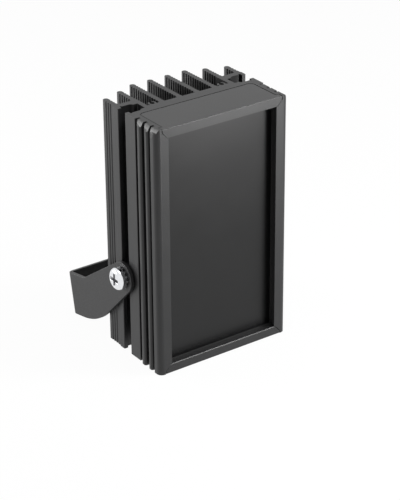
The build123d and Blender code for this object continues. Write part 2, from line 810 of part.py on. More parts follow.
with BuildPart() as gland_body:
    with BuildSketch(front_plane(gland_seat_y)):
        with Locations((0, gland_z)):
            Circle(gland_thread_radius)
    extrude(amount=gland_seat_y - channel_back_y)
    with BuildSketch(front_plane(gland_shoulder_y)):
        with Locations((0, gland_z)):
            RegularPolygon(gland_hex_width / 2, 6, major_radius=False)
    extrude(amount=gland_hex_height)
    with BuildSketch(front_plane(gland_collar_end_y)):
        with Locations((0, gland_z)):
            Circle(gland_collar_radius)
    extrude(amount=gland_collar_height)
    with BuildSketch(front_plane(gland_collar_end_y)):
        with Locations((0, gland_z)):
            Circle(gland_body_bore_radius)
    extrude(amount=gland_collar_end_y - channel_back_y, mode=Mode.SUBTRACT)
    with BuildSketch(front_plane(gland_collar_end_y)):
        with Locations((0, gland_z)):
            Circle(gland_seal_seat_radius)
    extrude(amount=gland_seal_seat_depth, mode=Mode.SUBTRACT)
write(gland_body, "gland_body")

with BuildPart() as gland_seal:
    with BuildSketch(front_plane(gland_collar_end_y)):
        with Locations((0, gland_z)):
            Circle(gland_seal_seat_radius - gland_nut_play / 3)
            Circle(cable_radius, mode=Mode.SUBTRACT)
    extrude(amount=gland_seal_seat_depth)
write(gland_seal, "gland_seal")

with BuildPart() as gland_nut:
    nut_seat_y = gland_shoulder_y + gland_nut_play
    nut_end_y = nut_seat_y + gland_nut_height
    with BuildSketch(front_plane(nut_seat_y + gland_nut_hex_height)):
        with Locations((0, gland_z)):
            RegularPolygon(gland_hex_width / 2, 6, major_radius=False)
    extrude(amount=gland_nut_hex_height)
    # domed nose behind the hexagon
    with BuildSketch(side_plane(0)):
        with BuildLine():
            dome_start = (nut_seat_y, gland_z + gland_hex_width / 2)
            dome_shoulder = (nut_seat_y + gland_nut_hex_height, gland_z + gland_hex_width / 2)
            dome_end = (nut_end_y, gland_z + gland_nose_radius)
            dome_middle = ((dome_shoulder[0] * 2 + nut_end_y) / 3 + gland_nut_play,
                           dome_shoulder[1] - gland_nut_play * 2)
            Polyline(dome_start, dome_shoulder, dome_middle, dome_end,
                     (nut_end_y, gland_z), (nut_seat_y, gland_z), dome_start)
        make_face()
    revolve(axis=Axis((0, 0, gland_z), (0, 1, 0)))
    with BuildSketch(front_plane(gland_collar_end_y + gland_nut_play)):
        with Locations((0, gland_z)):
            Circle(gland_collar_radius + thread_gap)
    extrude(amount=gland_collar_height + gland_nut_play, mode=Mode.SUBTRACT)
    with BuildSketch(front_plane(nut_end_y)):
        with Locations((0, gland_z)):
            Circle(gland_body_bore_radius)
    extrude(amount=gland_nut_height, mode=Mode.SUBTRACT)
write(gland_nut, "gland_nut")

# Bracket: one bent sheet, drawn as its side outline and hollowed between the arms

def is_inner_bend(point):
    """Whether a point lies on one of the two lines where an arm's inside meets the back plate."""
    along = bracket_plane.to_local_coords(point).X
    return (abs(along - plate_u + sheet_thickness) < thread_gap
            and abs(abs(point.X) - arm_inner_x) < thread_gap)


with BuildPart() as u_bracket:
    top_slope = radians(arm_top_slope)
    bottom_slope = radians(arm_bottom_slope)
    top_start = (arm_end_radius * sin(top_slope), arm_end_radius * cos(top_slope))
    kink = (top_start[0] + (top_start[1] - plate_top_v) / tan(top_slope), plate_top_v)
    bottom_start = (-arm_end_radius * sin(bottom_slope), -arm_end_radius * cos(bottom_slope))
    heel = (bottom_start[0] + (bottom_start[1] - plate_bottom_v) / tan(bottom_slope), plate_bottom_v)
    nose_angle = (top_slope - bottom_slope) / 2
    with BuildSketch(bracket_plane) as arm_outline:
        with BuildLine():
            ThreePointArc(top_start, (-arm_end_radius * cos(nose_angle),
                                      arm_end_radius * sin(nose_angle)), bottom_start)
            Polyline(bottom_start, heel, (plate_u, plate_bottom_v), (plate_u, plate_top_v),
                     kink, top_start)
        make_face()
        fillet(arm_outline.vertices().sort_by_distance(heel)[0], arm_bottom_blend)
        fillet(arm_outline.vertices().sort_by_distance(kink)[0], arm_top_blend)
    extrude(amount=arm_outer_x, both=True)
    with BuildSketch(bracket_plane):
        box_outline(-plate_u, plate_u - sheet_thickness, 2 * plate_bottom_v, plate_u)
    extrude(amount=arm_inner_x, both=True, mode=Mode.SUBTRACT)
    # bends: the four long edges where the arms meet the back plate
    upright = u_bracket.edges().filter_by(Axis(pivot_centre, bracket_up))
    rearward = upright.group_by(Axis(pivot_centre, bracket_back))
    fillet(rearward[-1], bend_inner_radius + sheet_thickness)
    upright = u_bracket.edges().filter_by(Axis(pivot_centre, bracket_up))
    inner_corners = upright.filter_by(lambda edge: is_inner_bend(edge.center()))
    fillet(inner_corners, bend_inner_radius)
    # pivot holes, and the fixing holes in the back plate
    with BuildSketch(bracket_plane):
        Circle(m6_radius + pivot_clearance)
    extrude(amount=2 * arm_outer_x, both=True, mode=Mode.SUBTRACT)
    plate_centre = bracket_plane.from_local_coords((plate_u, plate_middle_v))
    with BuildSketch(Plane(origin=plate_centre, x_dir=(-1, 0, 0), z_dir=bracket_back)):
        Circle(centre_hole_radius)
        with GridLocations(outer_hole_spacing, outer_hole_spacing, 2, 1):
            Circle(outer_hole_radius)
    extrude(amount=-2 * sheet_thickness, mode=Mode.SUBTRACT)
write(u_bracket, "u_bracket")

# Pivots: a sliding nut, a pan head screw and a toothed washer on each side

with BuildPart() as right_t_nut:
    nut_inner_x = nut_outer_x - nut_thickness
    nut_width = slot_chamber_width - 2 * nut_gap
    with BuildSketch(side_plane(nut_inner_x, slot_centre_y, pivot_z)):
        Rectangle(nut_width, nut_length)
        Circle(m6_radius + thread_gap, mode=Mode.SUBTRACT)
    extrude(amount=nut_thickness)
    chamfer(right_t_nut.faces().sort_by(Axis.X)[0].edges().filter_by(GeomType.LINE), nut_edge)
write(right_t_nut, "right_t_nut")

with BuildPart() as right_pivot_screw:
    screw_plane = side_plane(head_x, slot_centre_y, pivot_z)
    with BuildSketch(screw_plane):
        Circle(m6_head_radius)
    extrude(amount=m6_head_height)
    chamfer(right_pivot_screw.faces().sort_by(Axis.X)[-1].edges(), m6_head_rim)
    with BuildSketch(screw_plane):
        Circle(m6_radius)
    extrude(amount=-m6_length)
    # cross recess, narrowing towards its floor
    with BuildSketch(screw_plane.offset(m6_head_height)):
        Rectangle(recess_length, recess_width)
        Rectangle(recess_width, recess_length)
    extrude(amount=-recess_depth, taper=recess_taper, mode=Mode.SUBTRACT)
write(right_pivot_screw, "right_pivot_screw")

with BuildPart() as right_lock_washer:
    ring_x = washer_x + (washer_space - washer_sheet) / 2
    with BuildSketch(side_plane(ring_x, slot_centre_y, pivot_z)):
        Circle(washer_ring_radius)
        Circle(washer_inner_radius, mode=Mode.SUBTRACT)
    extrude(amount=washer_sheet)
    tooth_length = tooth_tip_radius - washer_ring_radius + washer_sheet
    with Locations(side_plane(ring_x + washer_sheet / 2, slot_centre_y, pivot_z)):
        with PolarLocations(tooth_tip_radius - tooth_length / 2, washer_teeth):
            Box(tooth_length, tooth_width, washer_sheet, rotation=(tooth_twist, 0, 0))
write(right_lock_washer, "right_lock_washer")

for right_piece, left_name in ((right_t_nut, "left_t_nut"),
                               (right_pivot_screw, "left_pivot_screw"),
                               (right_lock_washer, "left_lock_washer")):
    with BuildPart() as left_piece:
        add(right_piece.part.mirror(Plane.YZ))
    write(left_piece, left_name)
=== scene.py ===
import json
from collections import namedtuple
from math import cos, radians, sin

import bmesh
import bpy
from bpy.props import FloatProperty, FloatVectorProperty, PointerProperty
from mathutils import Matrix, Vector

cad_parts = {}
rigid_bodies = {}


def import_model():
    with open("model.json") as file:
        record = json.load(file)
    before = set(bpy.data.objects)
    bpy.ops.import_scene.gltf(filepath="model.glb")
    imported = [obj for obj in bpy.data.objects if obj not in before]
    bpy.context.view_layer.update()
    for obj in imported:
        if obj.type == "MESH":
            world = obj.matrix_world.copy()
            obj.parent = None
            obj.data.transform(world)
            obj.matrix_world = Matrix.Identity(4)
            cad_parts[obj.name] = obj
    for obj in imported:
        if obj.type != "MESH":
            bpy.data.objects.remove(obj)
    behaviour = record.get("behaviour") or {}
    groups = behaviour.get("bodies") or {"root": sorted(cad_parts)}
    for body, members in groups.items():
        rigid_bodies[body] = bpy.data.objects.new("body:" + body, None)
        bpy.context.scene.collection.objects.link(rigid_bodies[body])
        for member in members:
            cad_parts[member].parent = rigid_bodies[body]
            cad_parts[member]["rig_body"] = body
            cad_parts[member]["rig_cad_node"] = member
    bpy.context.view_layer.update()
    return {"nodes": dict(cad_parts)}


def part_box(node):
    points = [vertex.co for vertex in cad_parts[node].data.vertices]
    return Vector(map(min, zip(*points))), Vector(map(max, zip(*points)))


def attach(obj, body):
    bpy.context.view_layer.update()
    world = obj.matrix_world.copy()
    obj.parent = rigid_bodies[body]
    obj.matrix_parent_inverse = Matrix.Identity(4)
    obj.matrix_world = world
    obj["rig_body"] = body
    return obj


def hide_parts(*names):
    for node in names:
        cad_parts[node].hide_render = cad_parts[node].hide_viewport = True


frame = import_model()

bl_info = {
    "name": "Infrared illuminator",
    "version": (1, 0, 0),
    "blender": (4, 5, 0),
    "location": "3D View > Sidebar > Illuminator",
    "description": "Builds the finished look of an infrared illuminator over its CAD frame",
    "category": "Object",
}

NODES = frame["nodes"]
MILLIMETRE = 0.001
WELD_DISTANCE = 0.002 * MILLIMETRE
PHOTO_LONG_SIDE = 500

# Angles between two faces: joined as flat, shaded as one, or taken as an edge of some kind
FLAT_ANGLE = radians(0.6)
SMOOTH_ANGLE = radians(47)
CAP_SMOOTH_ANGLE = radians(40)
SHARP_ANGLE = radians(40)
SQUARE_ANGLE = radians(60)
GROOVE_ANGLES = (radians(35), radians(55))

# A face whose normal's height is below this faces down
FACES_DOWN = -0.5

# How far a smoothed normal follows its largest faces, from 1 to 100
WEIGHT_OF_LARGE_FACES = 100

# Facets of a pivot screw's head, and its shape as shares of its height and radius
HEAD_SIDES = 64
HEAD_ARC_STEPS = 10
HEAD_WALL_SHARE = 0.42
HEAD_FOOT_SHARE = 0.975
HEAD_FOOT_RISE = 0.05
HEAD_CROWN_SHARE = 0.62
RECESS_FLANK_SHARE = 0.5
RECESS_END_SHARE = 0.3
RIM_REACH_SHARE = 0.1

# The soft lights: azimuth and elevation in degrees, distance and width in metres
SoftLight = namedtuple("SoftLight", "azimuth elevation distance width")
SOFT_LIGHTS = {
    "right": SoftLight(30.0, 2.0, 0.34, 0.12),
    "left": SoftLight(-138.0, 6.0, 0.7, 0.4),
    "crown": SoftLight(0.0, 89.0, 0.7, 0.5),
    "edge": SoftLight(50.0, 46.0, 0.7, 0.16),
}

# Noise, and the middle part of its values, which is spread over the wanted range
NOISE_DETAIL = 2.0
NOISE_ROUGHNESS = 0.5
NOISE_LOW = 0.3
NOISE_HIGH = 0.7

# Patterns: sizes in metres, and how far a shade (as a share) or a roughness varies
COAT_CLOUD = 0.012
COAT_SHADE = 0.10
COAT_MOTTLE = 0.03
POWDER_MOTTLE = 0.1
STREAK_STRETCH = 30.0
METAL_SHADE = 0.04
METAL_MOTTLE_SHARE = 0.25
MOULDED_GRAIN = 0.0008
MOULDED_RELIEF = 0.000003
MOULDED_CLOUD_GRAINS = 10
MOULDED_SHADE = 0.06
MOULDED_MOTTLE = 0.03
PLASTIC_IOR = 1.49
CLEAR_CLOUD = 0.004
CLEAR_SHADE = 0.03
CLEAR_GRAIN = 0.002
CLEAR_MOTTLE = 0.01
WINDOW_CLOUD = 0.02
WINDOW_SHADE = 0.1
WINDOW_GRAIN = 0.015
WINDOW_MOTTLE = 0.02

# The stage: the floor, and how near and far the camera sees, in metres
FLOOR_SIDES = 96
FLOOR_ROUGHNESS = 0.9
FLOOR_CLOUD = 0.3
FLOOR_SHADE = 0.002
CAMERA_NEAR = 0.05
CAMERA_FAR = 50.0

# The material slot of each CAD node that keeps its own mesh
PLAIN_NODES = {
    "top_cap_seal": "rubber_black",
    "bottom_cap_seal": "rubber_black",
    "window_gasket": "rubber_black",
    "gland_washer": "rubber_black",
    "gland_seal": "rubber_black",
    "cap_screws": "screw_steel",
    "tray_screws": "screw_steel",
    "driver_screws": "screw_steel",
    "terminal_screws": "screw_steel",
    "right_t_nut": "zinc_steel",
    "left_t_nut": "zinc_steel",
    "right_lock_washer": "zinc_steel",
    "left_lock_washer": "zinc_steel",
    "board_leads": "tinned_wire",
    "thermal_pad": "pad_grey",
    "led_board": "board_white",
    "led_emitters": "emitter_yellow",
    "led_lenses": "lens_clear",
    "lens_tray": "tray_black",
    "driver_standoffs": "brass_plain",
    "driver_board": "board_green",
    "driver_capacitors": "can_aluminium",
    "driver_inductor": "ferrite_grey",
    "driver_chips": "chip_black",
    "terminal_block": "terminal_green",
    "photocell": "photocell_clear",
}


def length(name, description, default):
    """A length in metres that a user can change."""
    return FloatProperty(name=name, description=description, default=default, min=0.0,
                         unit="LENGTH", precision=5)


def factor(name, description, default):
    """A share from 0 to 1 that a user can change."""
    return FloatProperty(name=name, description=description, default=default, min=0.0,
                         max=1.0, subtype="FACTOR")


def colour(name, description, default):
    """A linear colour that a user can change."""
    return FloatVectorProperty(name=name, description=description, default=default, size=3,
                               min=0.0, max=1.0, subtype="COLOR")


class LampSizes(bpy.types.PropertyGroup):
    """Widths of the softened edges and sizes of the surface grain."""

    housing_edge: length("Housing edge", "Width of the bevel round the extrusion's cut ends",
                         0.00014)
    groove_edge: length("Groove edge", "Width of the rounding beside each groove of a fin",
                        0.00008)
    web_clearance: length("Web clearance", "Depth from the web's front that holds no groove",
                          0.0085)
    flange_edge: length("Flange edge", "Width of the bevel beside the window opening",
                        0.00022)
    cap_edge: length("Cap edge", "Width of the bevel on the end caps", 0.0001)
    cap_front_edge: length("Cap front edge", "Width of the chamfer on the caps' front edges",
                           0.0003)
    window_edge: length("Window edge", "Width of the bevel round the window", 0.0003)
    bracket_edge: length("Bracket edge", "Width of the bevel on the bracket's cut edges", 0.00035)
    head_height: length("Head height", "Height of a pivot screw's head", 0.0039)
    shank_radius: length("Shank radius", "Radius of a pivot screw's shank", 0.003)
    shank_lead: length("Shank lead", "Size of the chamfer on the shank's end", 0.0004)
    recess_length: length("Recess length", "Length of the cross recess's wings", 0.0072)
    recess_width: length("Recess width", "Width of the cross recess's wings", 0.0019)
    recess_depth: length("Recess depth", "Depth of the cross recess", 0.0026)
    recess_edge: length("Recess edge", "Width of the bevel round the recess", 0.00012)
    gland_edge: length("Gland edge", "Width of the bevel on the gland", 0.00025)
    coat_grain: length("Coat grain", "Size of the grain in the housing's coat", 0.00045)
    coat_relief: length("Coat relief", "Height of the grain in the housing's coat", 0.000004)
    powder_grain: length("Powder grain", "Size of the grain in the bracket's powder coat",
                         0.0006)
    powder_relief: length("Powder relief", "Height of the grain in the bracket's powder coat",
                          0.00005)


class LampColours(bpy.types.PropertyGroup):
    """Colours and gloss of the visible pieces."""

    housing: colour("Housing", "Black coat of the extrusion", (0.013, 0.013, 0.0135))
    caps: colour("Caps", "Black coat of the end caps", (0.013, 0.013, 0.0135))
    bracket: colour("Bracket", "Black powder coat of the bracket", (0.014, 0.014, 0.0145))
    window: colour("Window", "Dark sheet of the front window", (0.002, 0.002, 0.0022))
    chrome: colour("Chrome", "Plating of the pivot screws", (0.80, 0.81, 0.83))
    # Painted shade: this darker metal stands for the shade down in the cross recess
    recess: colour("Recess", "Dull metal down in the cross recess", (0.28, 0.28, 0.29))
    rubber: colour("Rubber", "Seals and gaskets", (0.012, 0.012, 0.012))
    coat_gloss: factor("Coat gloss", "Strength of the black coats' reflection", 0.42)
    housing_roughness: factor("Housing roughness", "Roughness of the housing's coat", 0.42)
    cap_roughness: factor("Cap roughness", "Roughness of the end caps' coat", 0.36)
    bracket_roughness: factor("Bracket roughness", "Roughness of the powder coat", 0.48)
    window_gloss: factor("Window gloss", "Strength of the window's reflection", 0.35)
    window_roughness: factor("Window roughness", "Roughness of the window", 0.33)


class LampStage(bpy.types.PropertyGroup):
    """Light, floor and camera."""

    floor: colour("Floor", "Pale floor", (0.92, 0.92, 0.92))
    floor_size: length("Floor size", "Width of the floor", 8.0)
    floor_glow: factor("Floor glow", "How far the floor is lifted to white for the camera", 0.96)
    sky_strength: FloatProperty(name="Sky strength", default=0.12, min=0.0,
                                description="Strength of the even light from all round")
    right_power: FloatProperty(name="Right power", default=0.70, min=0.0, unit="POWER",
                               description="Power of the low soft light on the right")
    left_power: FloatProperty(name="Left power", default=4.0, min=0.0, unit="POWER",
                              description="Power of the soft light on the left")
    crown_power: FloatProperty(name="Crown power", default=2.0, min=0.0, unit="POWER",
                               description="Power of the soft light overhead")
    edge_power: FloatProperty(name="Edge power", default=3.4, min=0.0, unit="POWER",
                              description="Power of the small light that draws the front edges")
    camera_azimuth: FloatProperty(name="Camera azimuth", default=radians(-35.25),
                                  description="Turn of the camera round the lamp",
                                  subtype="ANGLE", unit="ROTATION")
    camera_elevation: FloatProperty(name="Camera elevation", default=radians(26.07),
                                    description="Height of the camera over the horizon",
                                    subtype="ANGLE", unit="ROTATION")
    camera_roll: FloatProperty(name="Camera roll", default=radians(-0.46),
                               description="Turn of the camera about its own axis",
                               subtype="ANGLE", unit="ROTATION")
    camera_distance: length("Camera distance", "Distance from the camera to the lamp", 0.947)
    camera_target: FloatVectorProperty(name="Camera target", size=3, subtype="TRANSLATION",
                                       description="Point that the camera looks at",
                                       default=(0.0, 0.00835, 0.0675), unit="LENGTH")
    focal_pixels: FloatProperty(name="Focal length", default=1856.0, min=1.0, subtype="PIXEL",
                                description="Focal length in pixels of the photograph")
    shift_right: FloatProperty(name="Shift right", default=0.7, subtype="PIXEL",
                               description="How far right of the middle the target is, in pixels")
    shift_up: FloatProperty(name="Shift up", default=27.4, subtype="PIXEL",
                            description="How far above the middle the target is, in pixels")


# Materials

class Shader:
    """A new procedural material whose patterns read Object coordinates."""

    def __init__(self, name):
        self.material = bpy.data.materials.new(name)
        self.material.use_nodes = True
        self.tree = self.material.node_tree
        self.surface = self.tree.nodes["Principled BSDF"]
        self.coordinates = self.node("ShaderNodeTexCoord").outputs["Object"]

    def node(self, kind, **values):
        """A node of a kind, with its sockets set by name."""
        made = self.tree.nodes.new(kind)
        for socket, value in values.items():
            made.inputs[socket.replace("_", " ")].default_value = value
        return made

    def link(self, output, target):
        """A link from an output to an input."""
        self.tree.links.new(output, target)

    def noise(self, size, stretch=(1.0, 1.0, 1.0)):
        """Noise with features of about a size in metres, stretched along the axes."""
        mapping = self.node("ShaderNodeMapping")
        mapping.inputs["Scale"].default_value = [1.0 / (size * s) for s in stretch]
        self.link(self.coordinates, mapping.inputs["Vector"])
        pattern = self.node("ShaderNodeTexNoise", Scale=1.0, Detail=NOISE_DETAIL,
                            Roughness=NOISE_ROUGHNESS)
        self.link(mapping.outputs["Vector"], pattern.inputs["Vector"])
        return pattern.outputs["Fac"]

    def spread(self, pattern, low, high):
        """The middle part of a pattern, brought to run from low to high."""
        span = self.node("ShaderNodeMapRange")
        for socket, value in (("From Min", NOISE_LOW), ("From Max", NOISE_HIGH),
                              ("To Min", low), ("To Max", high)):
            span.inputs[socket].default_value = value
        self.link(pattern, span.inputs["Value"])
        return span.outputs["Result"]

    def tint(self, pattern, base, variation):
        """The base colour, made darker and lighter by a pattern."""
        ramp = self.node("ShaderNodeValToRGB")
        ends = ramp.color_ramp.elements
        ends[0].position = NOISE_LOW
        ends[1].position = NOISE_HIGH
        ends[0].color = [c * (1.0 - variation) for c in base] + [1.0]
        ends[1].color = [min(1.0, c * (1.0 + variation)) for c in base] + [1.0]
        self.link(pattern, ramp.inputs["Fac"])
        self.link(ramp.outputs["Color"], self.surface.inputs["Base Color"])

    def gloss(self, pattern, base, variation):
        """The roughness, varied by a pattern."""
        self.link(self.spread(pattern, base - variation, base + variation),
                  self.surface.inputs["Roughness"])

    def relief(self, pattern, height):
        """A bump of a height in metres."""
        bump = self.node("ShaderNodeBump", Strength=1.0, Distance=height)
        self.link(pattern, bump.inputs["Height"])
        self.link(bump.outputs["Normal"], self.surface.inputs["Normal"])

    def set(self, **values):
        """Values set on the surface's own sockets."""
        for socket, value in values.items():
            self.surface.inputs[socket.replace("_", " ")].default_value = value


def coat(name, base, roughness, grain, height, mottle=COAT_MOTTLE, stretch=1.0):
    """A black coat with a fine grain and a slightly uneven shade; on an extrusion it streaks."""
    shader = Shader(name)
    shader.set(Specular_IOR_Level=bpy.context.scene.lamp_colours.coat_gloss)
    shader.tint(shader.noise(COAT_CLOUD), base, COAT_SHADE)
    pattern = shader.noise(grain, stretch=(1.0, 1.0, stretch))
    shader.gloss(pattern, roughness, mottle)
    shader.relief(pattern, height)
    return shader.material


def metal(name, base, roughness, grain):
    """Bare or plated metal with a fine grain in its gloss."""
    shader = Shader(name)
    shader.set(Metallic=1.0)
    pattern = shader.noise(grain)
    shader.tint(pattern, base, METAL_SHADE)
    shader.gloss(pattern, roughness, roughness * METAL_MOTTLE_SHARE)
    return shader.material


def moulded(name, base, roughness, grain=MOULDED_GRAIN, height=MOULDED_RELIEF):
    """A moulded or soft material with a faint grain."""
    shader = Shader(name)
    pattern = shader.noise(grain)
    shader.tint(shader.noise(grain * MOULDED_CLOUD_GRAINS), base, MOULDED_SHADE)
    shader.gloss(pattern, roughness, MOULDED_MOTTLE)
    shader.relief(pattern, height)
    return shader.material


def clear(name, base, roughness, transmission):
    """A clear or tinted moulding."""
    shader = Shader(name)
    shader.set(Transmission_Weight=transmission, IOR=PLASTIC_IOR)
    shader.tint(shader.noise(CLEAR_CLOUD), base, CLEAR_SHADE)
    shader.gloss(shader.noise(CLEAR_GRAIN), roughness, CLEAR_MOTTLE)
    return shader.material


# How each finish is made: its name, colour and roughness, then the grain's size and relief of a
# metal or moulding, or the transmission of a clear piece
MAKERS = {
    "rubber_black": lambda c: moulded("rubber", c.rubber, 0.7),
    "screw_steel": lambda c: metal("screw steel", (0.55, 0.55, 0.56), 0.3, 0.0006),
    "zinc_steel": lambda c: metal("zinc plate", (0.80, 0.80, 0.82), 0.2, 0.0008),
    "pivot_chrome": lambda c: metal("chrome", c.chrome, 0.12, 0.002),
    # The recess finish is painted shade: a darker, duller metal for the shade in the cross recess
    "recess": lambda c: metal("recess", c.recess, 0.4, 0.001),
    "tinned_wire": lambda c: metal("tinned strip", (0.72, 0.72, 0.73), 0.28, 0.0006),
    "brass_plain": lambda c: metal("brass", (0.70, 0.50, 0.22), 0.25, 0.0008),
    "can_aluminium": lambda c: metal("aluminium can", (0.75, 0.75, 0.76), 0.25, 0.001),
    "pad_grey": lambda c: moulded("thermal pad", (0.32, 0.34, 0.38), 0.8),
    "board_white": lambda c: moulded("white board", (0.80, 0.80, 0.77), 0.45),
    "board_green": lambda c: moulded("green board", (0.012, 0.11, 0.04), 0.35),
    "emitter_yellow": lambda c: clear("emitter", (0.80, 0.68, 0.30), 0.12, 0.2),
    "lens_clear": lambda c: clear("clear lens", (0.95, 0.96, 0.97), 0.03, 0.95),
    "tray_black": lambda c: moulded("lens tray", (0.01, 0.01, 0.01), 0.5),
    "ferrite_grey": lambda c: moulded("ferrite", (0.03, 0.03, 0.032), 0.5, 0.0004, 0.00001),
    "chip_black": lambda c: moulded("chip", (0.012, 0.012, 0.012), 0.5),
    "terminal_green": lambda c: moulded("terminal block", (0.02, 0.18, 0.06), 0.4),
    "photocell_clear": lambda c: clear("photocell", (0.45, 0.20, 0.12), 0.1, 0.3),
    "gland_black": lambda c: moulded("nylon", (0.016, 0.016, 0.017), 0.42, 0.0009, 0.000006),
}


def finish_of(slot_name):
    """The material of a slot, made on first use."""
    made = bpy.data.materials.get(f"finish {slot_name}")
    if made is None:
        made = MAKERS[slot_name](bpy.context.scene.lamp_colours)
        made.name = f"finish {slot_name}"
    return made


def dress(piece, material):
    """Gives a piece one material."""
    piece.data.materials.clear()
    piece.data.materials.append(material)


# Modelling

def select_only(piece):
    """Leaves one object selected and active, in object mode."""
    if bpy.context.mode != "OBJECT":
        bpy.ops.object.mode_set(mode="OBJECT")
    bpy.ops.object.select_all(action="DESELECT")
    piece.select_set(True)
    bpy.context.view_layer.objects.active = piece


def merged_copy(node, name):
    """A copy of a CAD node as a new piece, its loose triangles merged and flat faces joined."""
    select_only(NODES[node])
    bpy.ops.object.duplicate(linked=False)
    piece = bpy.context.view_layer.objects.active
    if piece is NODES[node] or piece.data is NODES[node].data:
        raise RuntimeError(f"{node} wasn't copied")
    piece.name = name
    piece.data.name = name
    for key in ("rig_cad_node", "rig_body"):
        del piece[key]
    piece.parent = None
    piece.matrix_world = Matrix.Identity(4)
    select_only(piece)
    if piece.data.has_custom_normals:
        bpy.ops.mesh.customdata_custom_splitnormals_clear()
    bpy.ops.object.mode_set(mode="EDIT")
    bpy.ops.mesh.select_all(action="SELECT")
    bpy.ops.mesh.remove_doubles(threshold=WELD_DISTANCE)
    bpy.ops.mesh.dissolve_limited(angle_limit=FLAT_ANGLE, delimit=set())
    bpy.ops.mesh.normals_make_consistent(inside=False)
    close_edit()
    return piece


def select_where(piece, kind, wanted):
    """Opens a piece for editing with the vertices, edges or faces selected that a test picks."""
    select_only(piece)
    bpy.ops.object.mode_set(mode="EDIT")
    bpy.ops.mesh.select_mode(type=kind)
    bpy.ops.mesh.select_all(action="DESELECT")
    shape = bmesh.from_edit_mesh(piece.data)
    parts = {"VERT": shape.verts, "EDGE": shape.edges, "FACE": shape.faces}[kind]
    chosen = [part for part in parts if wanted(part)]
    if not chosen:
        raise RuntimeError(f"{piece.name} has nothing to select")
    for part in chosen:
        part.select_set(True)
    shape.select_flush_mode()
    bmesh.update_edit_mesh(piece.data)


def close_edit():
    """Leaves nothing selected and goes back to object mode."""
    bpy.ops.mesh.select_all(action="DESELECT")
    bpy.ops.object.mode_set(mode="OBJECT")


def soften(piece, width, is_edge, segments=2):
    """Bevels the convex edges that a test picks."""
    select_where(piece, "EDGE", lambda edge: (len(edge.link_faces) == 2 and edge.is_convex
                                              and is_edge(edge)))
    bpy.ops.mesh.bevel(offset=width, offset_type="OFFSET", segments=segments, profile=0.5,
                       affect="EDGES", clamp_overlap=True)
    close_edit()


def smooth(piece, angle=SMOOTH_ANGLE):
    """Smooth shading up to an angle, with flat faces kept flat beside their bevels."""
    select_only(piece)
    bpy.ops.object.shade_smooth_by_angle(angle=angle)
    bpy.ops.object.modifier_add(type="WEIGHTED_NORMAL")
    weighted = piece.modifiers[-1]
    weighted.mode = "FACE_AREA"
    weighted.weight = WEIGHT_OF_LARGE_FACES
    weighted.keep_sharp = True
    bpy.ops.object.modifier_apply(modifier=weighted.name)


def turn_of(edge):
    """The angle between an edge's two faces."""
    return edge.calc_face_angle(0.0)


def sharp(edge):
    """True where two faces meet at a clear angle."""
    return turn_of(edge) > SHARP_ANGLE


def upright(edge):
    """True where an edge runs straight up."""
    first, second = (v.co for v in edge.verts)
    return abs(first.x - second.x) + abs(first.y - second.y) < WELD_DISTANCE


def front_edge(edge, front_y):
    """True for a sharp edge in the front plane that has no face turned down."""
    return (sharp(edge) and all(v.co.y < front_y + WELD_DISTANCE for v in edge.verts)
            and all(face.normal.z > FACES_DOWN for face in edge.link_faces))


def turned(name, centre, stations, sides):
    """A closed piece turned about X: a circle carried through (x, radius) stations."""
    bpy.ops.object.select_all(action="DESELECT")
    start_x, start_radius = stations[0]
    middle = Vector((start_x, centre.y, centre.z))
    bpy.ops.mesh.primitive_circle_add(vertices=sides, radius=start_radius, fill_type="NGON",
                                      location=middle, rotation=(0, radians(90), 0))
    piece = bpy.context.view_layer.objects.active
    piece.name = name
    piece.data.name = name
    bpy.ops.object.transform_apply(location=True, rotation=True, scale=True)
    bpy.ops.object.mode_set(mode="EDIT")
    bpy.ops.mesh.select_all(action="SELECT")
    radius = start_radius
    for next_x, next_radius in stations[1:]:
        bpy.ops.mesh.extrude_region_move(
            TRANSFORM_OT_translate={"value": (next_x - middle.x, 0, 0)})
        middle.x = next_x
        growth = next_radius / radius
        bpy.ops.transform.resize(value=(1, growth, growth), center_override=middle)
        radius = next_radius
    bpy.ops.mesh.select_all(action="SELECT")
    bpy.ops.mesh.normals_make_consistent(inside=False)
    bpy.ops.object.mode_set(mode="OBJECT")
    return piece


def place(piece, node, body):
    """Puts a piece in a CAD node's stead."""
    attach(piece, body)
    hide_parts(node)


class LAMP_OT_housing(bpy.types.Operator):
    """Dresses the extrusion: softened cut ends and a satin black coat"""

    bl_idname = "lamp.housing"
    bl_label = "Housing"

    def execute(self, context):
        sizes, colours = context.scene.lamp_sizes, context.scene.lamp_colours
        housing = merged_copy("housing_extrusion", "housing")
        low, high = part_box("housing_extrusion")
        fins_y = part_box("thermal_pad")[1].y + sizes.web_clearance

        def cut_end(edge):
            """An edge of the saw cut at either end."""
            heights = [v.co.z for v in edge.verts]
            return sharp(edge) and (max(heights) < low.z + WELD_DISTANCE
                                    or min(heights) > high.z - WELD_DISTANCE)

        def groove_shoulder(edge):
            """An upright edge where a fin's face turns into one of its grooves."""
            least, most = GROOVE_ANGLES
            return (upright(edge) and edge.verts[0].co.y > fins_y
                    and least < turn_of(edge) < most)

        soften(housing, sizes.groove_edge, groove_shoulder)
        soften(housing, sizes.flange_edge, lambda edge: front_edge(edge, low.y), segments=1)
        soften(housing, sizes.housing_edge, cut_end, segments=1)
        smooth(housing)
        dress(housing, coat("satin black housing", colours.housing, colours.housing_roughness,
                            sizes.coat_grain, sizes.coat_relief, stretch=STREAK_STRETCH))
        place(housing, "housing_extrusion", "lamp")
        return {"FINISHED"}


